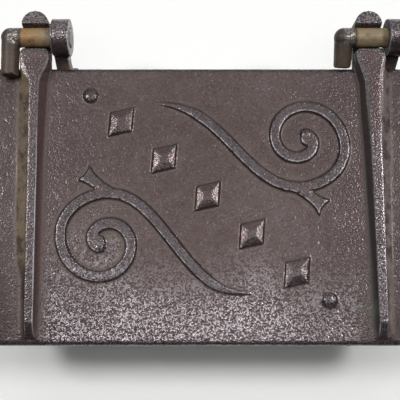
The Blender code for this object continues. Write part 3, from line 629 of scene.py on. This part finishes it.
        # Inner flanks: painted shade.
        inner = self.product(self.ramp(self.outward, (-0.12, -0.40)), self.ribbed)
        arm = self.product(
            self.ramp(self.y, settings.arm_front), self.ramp(self.z, settings.arm_top, (0.0, 0.7)))
        return sheltered, flank, inner, arm

    def stain(self):
        """A broken green stain."""
        sockets = {0: self.spot, 1: self.settings.patina_place}
        apart = self.put("ShaderNodeVectorMath", sockets, operation="DISTANCE").outputs["Value"]
        return self.product(
            self.ramp(apart, self.settings.patina_size, (0.0, 0.8)), self.ramp(self.mottle, (0.35, 0.60)))

    def peaks(self, handled_and_sheen):
        """Bright tops of the sandy grains, more of them where wear and the painted sheen are."""
        return self.largest(
            self.ramp(self.sand, (0.66, 0.76), (0.0, 0.25)),
            self.product(self.ramp(self.sand, (0.44, 0.62), (0.0, 0.75)), handled_and_sheen))

    def arris(self):
        """Broken pale lines along the arrises that face the front: partly metal worn pale, partly a painted
        highlight.
        """
        return self.product(
            self.ramp(self.edge, (0.13, 0.28)), self.ramp(self.sand, (0.30, 0.56), (0.35, 0.9)),
            self.ramp(self.forward, (-0.20, 0.40), (0.03, 1.0)),
            self.ramp(self.mottle, (0.36, 0.60), (0.45, 1.0)), self.ramp(self.y, self.settings.arris_back),
            self.ramp(self.z, self.settings.arris_height, (0.3, 1.0)),
            self.ramp(self.ribbed, (0.0, 0.5), (1.0, 0.5)))

    def ridge_highlight(self):
        """The right edges of the ribs' tops: partly wear, partly a painted highlight, as if lit from the
        right.
        """
        rightward = self.product(self.outward, self.calc("SIGN", self.x))
        return self.product(
            self.ramp(self.edge, (0.05, 0.20)), self.ramp(rightward, (0.10, 0.40)), self.ribbed,
            self.ramp(self.y, self.settings.ridge_back))

    def bumps(self, open_skin):
        """Shallow pits, sandy grains and fine dust."""
        pits = self.bump(self.ramp(self.pits, (0.28, 0.42)), strength=0.25, distance=0.0004)
        grain = self.product(open_skin, self.ramp(self.across, self.settings.fine_ends, (1.0, 0.4)))
        sandy = self.bump(self.sand, strength=grain, distance=0.00022, under=pits)
        return self.bump(self.dust, strength=0.40, distance=0.00007, under=sandy)


def measured(start, span):
    """A span measured from a place."""
    return [start + step for step in span]


def rusty_bar(settings):
    """Forged bar: golden brown rust with dark pits, a darker leg and a bright elbow, partly wear and partly a
    painted highlight.
    """
    bar = Finish("rusty_forged_bar")
    x, y, _ = bar.axes()
    mottle = bar.noise(scale=130.0, detail=6.0, roughness=0.70)
    grain = bar.noise(scale=800.0, detail=4.0, roughness=0.70)
    along = bar.attribute("along")
    low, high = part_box("hinge_pin_left")
    bend = settings.bend
    end = high.x - low.x
    axis = high.y - (high.z - low.z) / 2

    leg_tone = bar.blend(bar.ramp(y, measured(axis, settings.leg_end)), settings.leg, settings.leg_rust)
    olive_start, olive_end = settings.olive_span
    dusty = bar.largest(
        bar.ramp(along, (bend + olive_start, end + olive_end)), bar.ramp(x, settings.olive_right, (0.0, 0.8)))
    bar_tone = bar.blend(dusty, settings.brown, settings.olive)
    tone = bar.layers(
        leg_tone, (bar.ramp(along, measured(bend, settings.bar_start)), bar_tone),
        (bar.ramp(along, measured(end, settings.cut_face)), settings.cut))
    tone = bar.blend(bar.ramp(mottle, (0.34, 0.56), (0.3, 1.0)), settings.dark, tone)
    # Painted highlight on the front of the elbow, over its wear.
    elbow = bar.product(
        bar.ramp(along, measured(bend, settings.elbow_start)),
        bar.ramp(along, measured(bend, settings.elbow_end)),
        bar.ramp(y, measured(axis, settings.elbow_front)), bar.ramp(grain, (0.44, 0.62), (0.0, 0.9)))
    specks = bar.ramp(grain, (0.62, 0.78), (0.0, 0.3))
    edge = bar.ramp(bar.attribute("edge"), (0.09, 0.18))
    worn = bar.product(edge, bar.ramp(mottle, (0.46, 0.60), (0.0, 0.7)))
    rubbed_and_highlit = bar.largest(elbow, specks, worn)
    tone = bar.blend(rubbed_and_highlit, tone, settings.bright)
    metal = bar.ramp(rubbed_and_highlit, (0.0, 0.7), (0.12, 0.85))
    roughness = bar.ramp(rubbed_and_highlit, (0.0, 0.7), (0.48, 0.28))
    hammered = bar.bump(mottle, strength=0.30, distance=0.0006)
    normal = bar.bump(grain, strength=0.50, distance=0.0003, under=hammered)
    return bar.surface(tone, metal, roughness, normal)


def oxidised_steel(settings):
    """Oxidised fastenings: dark steel with rust in patches."""
    steel = Finish("oxidised_steel")
    mottle = steel.noise(scale=320.0, detail=6.0, roughness=0.65)
    grain = steel.noise(scale=1300.0, detail=3.0, roughness=0.60)
    tone = steel.layers(
        settings.steel, (steel.ramp(mottle, (0.44, 0.62)), settings.brown),
        (steel.ramp(grain, (0.58, 0.74), (0.0, 0.6)), settings.bright))
    metal = steel.ramp(mottle, (0.44, 0.62), (0.75, 0.25))
    roughness = steel.ramp(mottle, (0.40, 0.64), (0.38, 0.68))
    patches = steel.bump(mottle, strength=0.25, distance=0.0003)
    normal = steel.bump(grain, strength=0.40, distance=0.0002, under=patches)
    return steel.surface(tone, metal, roughness, normal)


def cast(context, item, kind, node, body):
    """Give a casting its skin and its finish."""
    settings = context.scene.tool_box_castings
    grid, swell, most = (getattr(settings, f"{kind}_{size}") for size in ("grid", "swell", "most"))
    skin(item, node, grid, settings.rounding, settings.ripple, swell, most)
    iron = bpy.data.materials.get(CastIron.name) or CastIron(context.scene.tool_box_iron).make()
    settle(item, node, body, iron)


class TOOLBOX_OT_lid(bpy.types.Operator):
    """Cast the lid's skin over its plate, skirt, ribs, hooks and raised ornament"""

    bl_idname = "tool_box.lid"
    bl_label = "Lid"

    def execute(self, context):
        settings = context.scene.tool_box_castings
        lid = node_copy("lid", "lid_casting")
        cast_on = [self.root(settings, side, outward) for side, outward in SIDES.items()]
        for form in ("collar", "club"):
            cast_on += [self.swelling(getattr(settings, f"{side}_{form}"), getattr(settings, form))
                        for side in SIDES]
        make_active(lid)
        for item in cast_on:
            item.select_set(True)
        bpy.ops.object.join()
        cast(context, lid, "lid", "lid", "lid")
        return {"FINISHED"}

    @staticmethod
    def root(settings, side, outward):
        """The broad root of a rib: straight-sided at the head, then drawn in to the narrow top."""
        rings = settings.root_rings
        back, front = rings[0], rings[-1]
        tall = settings.root_rise + settings.root_sink
        split = settings.lid_top + settings.root_rise - tall / 2
        item = block("rib_root", (1.0, back - front, tall), (0, (back + front) / 2, split))
        for ring in rings[1:-1]:
            bpy.ops.mesh.select_all(action="SELECT")
            bpy.ops.mesh.bisect(plane_co=(0, ring, 0), plane_no=(0, 1, 0))
        head_x, run_x = getattr(settings, f"{side}_rib")
        widths = zip(rings, getattr(settings, f"{side}_tops"), getattr(settings, f"{side}_shifts"),
                     settings.root_feet, settings.root_leans)
        for ring, top, top_shift, foot, lean in widths:
            share = (ring - rings[RUN_RING]) / (rings[HEAD_RING] - rings[RUN_RING])
            ring_x = run_x + (head_x - run_x) * min(max(share, 0.0), 1.0)
            fall = settings.root_fall * (back - ring) / (back - front)
            ends = ((True, top, top_shift, fall), (False, foot, outward * lean, 0.0))
            for upper, width, shift, drop in ends:
                pick(item, "EDGE", lambda e: all(abs(vert.co.y - ring) < SAME_PLACE
                                                 and (vert.co.z > split) == upper for vert in e.verts))
                bpy.ops.transform.resize(value=(width, 1, 1), center_override=(0, 0, 0))
                bpy.ops.transform.translate(value=(ring_x + shift, 0, -drop))
        leave_edit()
        return item

    @staticmethod
    def swelling(spot, size):
        """A low round swelling: the neck of a leaf, or the end of a scroll."""
        along, across, rise = size
        bpy.ops.object.select_all(action="DESELECT")
        bpy.ops.mesh.primitive_cylinder_add(vertices=ROUND_SIDES, radius=0.5, depth=2 * rise, location=spot)
        item = bpy.context.active_object
        bpy.ops.object.transform_apply()
        edit(item)
        bpy.ops.transform.resize(value=(along, across, 1), center_override=spot)
        pick(item, "FACE", lambda face: face.normal.z > LEVEL)
        bpy.ops.mesh.bevel(offset=rise / 3, segments=3)
        leave_edit()
        return item


class TOOLBOX_OT_box(bpy.types.Operator):
    """Cast the box: drafted walls, round corners, a coved floor and holes for the bracket bolts"""

    bl_idname = "tool_box.box"
    bl_label = "Box"

    def execute(self, context):
        settings = context.scene.tool_box_castings
        low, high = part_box("box_body")
        size = high - low
        wall = settings.wall
        slope = math.tan(settings.draft)
        body = block("box_casting", size, middle("box_body"))
        pick(body, "FACE", lambda face: face.normal.z < -LEVEL)
        self.draw_in(size.x, size.y, size.z * slope, (0, high.y, low.z))
        pick(body, "EDGE", lambda e: abs(e.verts[0].co.z - e.verts[1].co.z) > size.z / 2)
        bpy.ops.mesh.bevel(offset=settings.corner, segments=CORNER_STEPS)
        pick(body, "FACE", lambda face: face.normal.z > LEVEL)
        bpy.ops.mesh.inset(thickness=wall)
        depth = size.z - settings.floor
        bpy.ops.mesh.extrude_region_move(TRANSFORM_OT_translate={"value": (0, 0, -depth)})
        self.draw_in(size.x - 2 * wall, size.y - 2 * wall, depth * slope, (0, high.y - wall, settings.floor))
        rims = ((low.z + settings.floor, settings.cove, COVE_STEPS), (low.z, settings.foot, FOOT_STEPS),
                (high.z, settings.rim, RIM_STEPS))
        for height, radius, steps in rims:
            pick(body, "EDGE", lambda e: self.is_rim(e, height))
            bpy.ops.mesh.bevel(offset=radius, segments=steps)
        leave_edit()
        for side in SIDES:
            for level in LEVELS:
                self.drill(body, f"bracket_bolt_{side}_{level}", context.scene.tool_box_pins.bolt_hole)
        cast(context, body, "box", "box_body", "box")
        return {"FINISHED"}

    @staticmethod
    def draw_in(width, depth, lean, back):
        """Draw the selected face in at the front and sides, and leave its back edge in place."""
        bpy.ops.transform.resize(value=(1 - 2 * lean / width, 1 - lean / depth, 1), center_override=back)

    @staticmethod
    def is_rim(rim_edge, height):
        """An edge at a height where a level face meets an upright one."""
        flat = all(abs(vert.co.z - height) < SAME_PLACE for vert in rim_edge.verts)
        return flat and len({abs(face.normal.z) > LEVEL for face in rim_edge.link_faces}) == 2

    @staticmethod
    def drill(body, node, radius):
        """Drill the back wall for one bolt."""
        low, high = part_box(node)
        bpy.ops.object.select_all(action="DESELECT")
        bpy.ops.mesh.primitive_cylinder_add(vertices=ROUND_SIDES, radius=radius, depth=high.y - low.y,
                                            location=middle(node), rotation=(math.pi / 2, 0, 0))
        cutter = bpy.context.active_object
        finish_with(body, "BOOLEAN", object=cutter, operation="DIFFERENCE", solver="EXACT")
        bpy.data.objects.remove(cutter, do_unlink=True)


class TOOLBOX_OT_brackets(bpy.types.Operator):
    """Cast the skins of the two hinge brackets"""

    bl_idname = "tool_box.brackets"
    bl_label = "Hinge Brackets"

    def execute(self, context):
        for side in SIDES:
            node = f"hinge_bracket_{side}"
            cast(context, node_copy(node, f"bracket_casting_{side}"), "bracket", node, "box")
        return {"FINISHED"}


class TOOLBOX_OT_pins(bpy.types.Operator):
    """Forge the skins of the two bent hinge pins"""

    bl_idname = "tool_box.pins"
    bl_label = "Hinge Pins"

    def execute(self, context):
        settings = context.scene.tool_box_pins
        material = rusty_bar(settings)
        for side in SIDES:
            node = f"hinge_pin_{side}"
            pin = node_copy(node, f"forged_pin_{side}")
            edit(pin)
            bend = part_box(node)[0].x + settings.bend
            pick(pin, "FACE", lambda face: face.calc_center_median().x < bend)
            bpy.ops.transform.translate(value=(settings.leg_shift, 0, 0))
            leave_edit()
            skin(pin, node, settings.grid, settings.rounding, settings.hammering, settings.swell,
                 settings.most)
            store_along(pin)
            settle(pin, node, f"{side}_pin", material)
        return {"FINISHED"}


class TOOLBOX_OT_fastenings(bpy.types.Operator):
    """Make the bolts, washers and square nuts that hold the brackets"""

    bl_idname = "tool_box.fastenings"
    bl_label = "Fastenings"

    def execute(self, context):
        settings = context.scene.tool_box_pins
        material = oxidised_steel(settings)
        for kind, shape in (("bolt", self.bolt), ("washer", self.washer), ("nut", self.nut)):
            first = f"bracket_{kind}_left_upper"
            pattern = shape(settings, *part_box(first))
            pattern.data.transform(Matrix.Translation(middle(first) * Vector((1, 0, 1))))
            make_active(pattern)
            bpy.ops.object.shade_smooth_by_angle(angle=settings.smooth_angle)
            for side in SIDES:
                for level in LEVELS:
                    node = f"bracket_{kind}_{side}_{level}"
                    item = bpy.data.objects.new(f"{kind}_{side}_{level}", pattern.data.copy())
                    context.scene.collection.objects.link(item)
                    item.data.transform(Matrix.Translation(middle(node) - middle(first)))
                    settle(item, node, "box", material)
            bpy.data.objects.remove(pattern, do_unlink=True)
        return {"FINISHED"}

    @staticmethod
    def bolt(settings, low, high):
        """A round-headed bolt on the Y axis, with its thread showing past the nut."""
        shank = settings.shank
        soft = settings.soft_edge
        head = (high.x - low.x) / 2
        under_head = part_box("box_body")[1].y - settings.under_head
        profile = [(0.0, high.y), (shank - settings.thread_depth - soft, high.y)]
        run = high.y - soft
        while run > high.y - settings.thread_run:
            profile += [(shank - settings.thread_depth, run), (shank, run - settings.thread_pitch / 2)]
            run -= settings.thread_pitch
        profile += [(shank, run), (shank, under_head), (head - soft, under_head), (head, under_head - soft)]
        shoulder = under_head - settings.bolt_rim
        for step in range(DOME_STEPS):
            turn = math.pi / 2 * step / DOME_STEPS
            profile.append((head * math.cos(turn), shoulder - (shoulder - low.y) * math.sin(turn)))
        return spun("bolt", [*profile, (0.0, low.y)], settings.turn_steps)

    @staticmethod
    def washer(settings, low, high):
        """A stamped washer on the Y axis, with rolled edges."""
        radius = (high.x - low.x) / 2
        hole = settings.bolt_hole
        soft = settings.soft_edge
        profile = [(hole + soft, high.y), (radius - soft, high.y), (radius - soft / 3, high.y - soft / 3),
                   (radius, high.y - soft), (radius, low.y + soft), (radius - soft / 3, low.y + soft / 3),
                   (radius - soft, low.y), (hole + soft, low.y), (hole, low.y + soft), (hole, high.y - soft),
                   (hole + soft, high.y)]
        return spun("washer", profile, settings.turn_steps)

    @staticmethod
    def nut(settings, low, high):
        """A square nut on the Y axis, with a chamfered outer face and broken edges."""
        size = high - low
        nut = block("nut", size, (0, (low.y + high.y) / 2, 0))
        leave_edit()
        flat = size.x / 2
        reach = size.x * NUT_REACH
        past = size.y * CUTTER_PAST
        top, bottom = high.y + past, low.y - past
        slope = (reach - flat) / settings.nut_chamfer
        barrel = [(0.0, top), (flat - slope * past, top), (reach, high.y - settings.nut_chamfer),
                  (reach, bottom), (0.0, bottom)]
        hole = [(0.0, top), (settings.bolt_hole, top), (settings.bolt_hole, bottom), (0.0, bottom)]
        for profile, operation in ((barrel, "INTERSECT"), (hole, "DIFFERENCE")):
            cutter = spun("nut_cutter", profile, settings.turn_steps)
            finish_with(nut, "BOOLEAN", object=cutter, operation=operation, solver="EXACT")
            bpy.data.objects.remove(cutter, do_unlink=True)
        finish_with(nut, "BEVEL", width=settings.soft_edge, segments=2, limit_method="ANGLE",
                    angle_limit=settings.break_angle)
        return nut


class TOOLBOX_OT_stage(bpy.types.Operator):
    """Set the camera, the lamps, the sky and the paper floor"""

    bl_idname = "tool_box.stage"
    bl_label = "Stage"

    def execute(self, context):
        settings = context.scene.tool_box_stage
        context.scene.view_settings.view_transform = "Standard"
        self.camera(context, settings)
        self.floor(settings)
        self.sky(context, settings)
        for name, kind, way in LAMPS:
            self.lamp(context, settings, name, kind, Vector(getattr(settings, kind)) * Vector((way, 1, 1)))
        return {"FINISHED"}

    @staticmethod
    def camera(context, settings):
        """The camera of the reference view, nearly straight above."""
        view = bpy.data.cameras.new("camera")
        view.lens = settings.lens
        view.clip_start = settings.nearest
        item = bpy.data.objects.new("camera", view)
        context.scene.collection.objects.link(item)
        back = Vector((0.0, -math.sin(settings.tilt), math.cos(settings.tilt)))
        item.location = Vector(settings.aim) + settings.distance * back
        item.rotation_euler = (settings.tilt, 0.0, 0.0)
        context.scene.camera = item

    @staticmethod
    def floor(settings):
        """A wide sheet of pale paper under the box."""
        bpy.ops.object.select_all(action="DESELECT")
        bpy.ops.mesh.primitive_plane_add(size=settings.sheet)
        sheet = bpy.context.active_object
        sheet.name = "paper_floor"
        paper = Finish("pale_paper")
        fibre = paper.noise(scale=400.0, detail=3.0, roughness=0.60)
        fibres = paper.bump(fibre, strength=0.05, distance=0.0002)
        sheet.data.materials.append(paper.surface(settings.floor, metal=0.0, roughness=0.9, normal=fibres))

    @staticmethod
    def sky(context, settings):
        """The same soft white light from all round."""
        world = bpy.data.worlds.new("white_sky")
        world.use_nodes = True
        context.scene.world = world
        background = world.node_tree.nodes["Background"]
        background.inputs["Color"].default_value = (1.0, 1.0, 1.0, 1.0)
        background.inputs["Strength"].default_value = settings.sky

    @staticmethod
    def lamp(context, settings, name, kind, spot):
        """A soft lamp that faces the point that the camera looks at."""
        light = bpy.data.lights.new(name, "AREA")
        light.shape = "RECTANGLE"
        light.size = getattr(settings, f"{kind}_width")
        light.size_y = getattr(settings, f"{kind}_depth")
        light.energy = getattr(settings, f"{kind}_power")
        item = bpy.data.objects.new(name, light)
        item.location = spot
        item.rotation_euler = (Vector(settings.aim) - spot).to_track_quat("-Z", "Y").to_euler()
        context.scene.collection.objects.link(item)


class TOOLBOX_PT_panel(bpy.types.Panel):
    """Lists the pieces of the tool box"""

    bl_label = "Tool Box"
    bl_idname = "TOOLBOX_PT_panel"
    bl_space_type = "VIEW_3D"
    bl_region_type = "UI"
    bl_category = "Tool Box"

    def draw(self, context):
        for piece in PIECES:
            self.layout.operator(piece.bl_idname)


PIECES = (TOOLBOX_OT_lid, TOOLBOX_OT_box, TOOLBOX_OT_brackets, TOOLBOX_OT_pins, TOOLBOX_OT_fastenings,
          TOOLBOX_OT_stage)
SETTINGS = {"tool_box_castings": CastingSettings, "tool_box_iron": IronSettings, "tool_box_pins": PinSettings,
            "tool_box_stage": StageSettings}
CLASSES = (*SETTINGS.values(), *PIECES, TOOLBOX_PT_panel)


def register():
    """Register the classes and hang the settings on the scene."""
    for item in CLASSES:
        bpy.utils.register_class(item)
    for name, group in SETTINGS.items():
        setattr(bpy.types.Scene, name, PointerProperty(type=group))


def unregister():
    """Take the settings and the classes away again."""
    for name in SETTINGS:
        delattr(bpy.types.Scene, name)
    for item in reversed(CLASSES):
        bpy.utils.unregister_class(item)


def main():
    """Make every piece in order."""
    register()
    bpy.ops.tool_box.lid()
    bpy.ops.tool_box.box()
    bpy.ops.tool_box.brackets()
    bpy.ops.tool_box.pins()
    bpy.ops.tool_box.fastenings()
    bpy.ops.tool_box.stage()


if __name__ == "__main__":
    main()
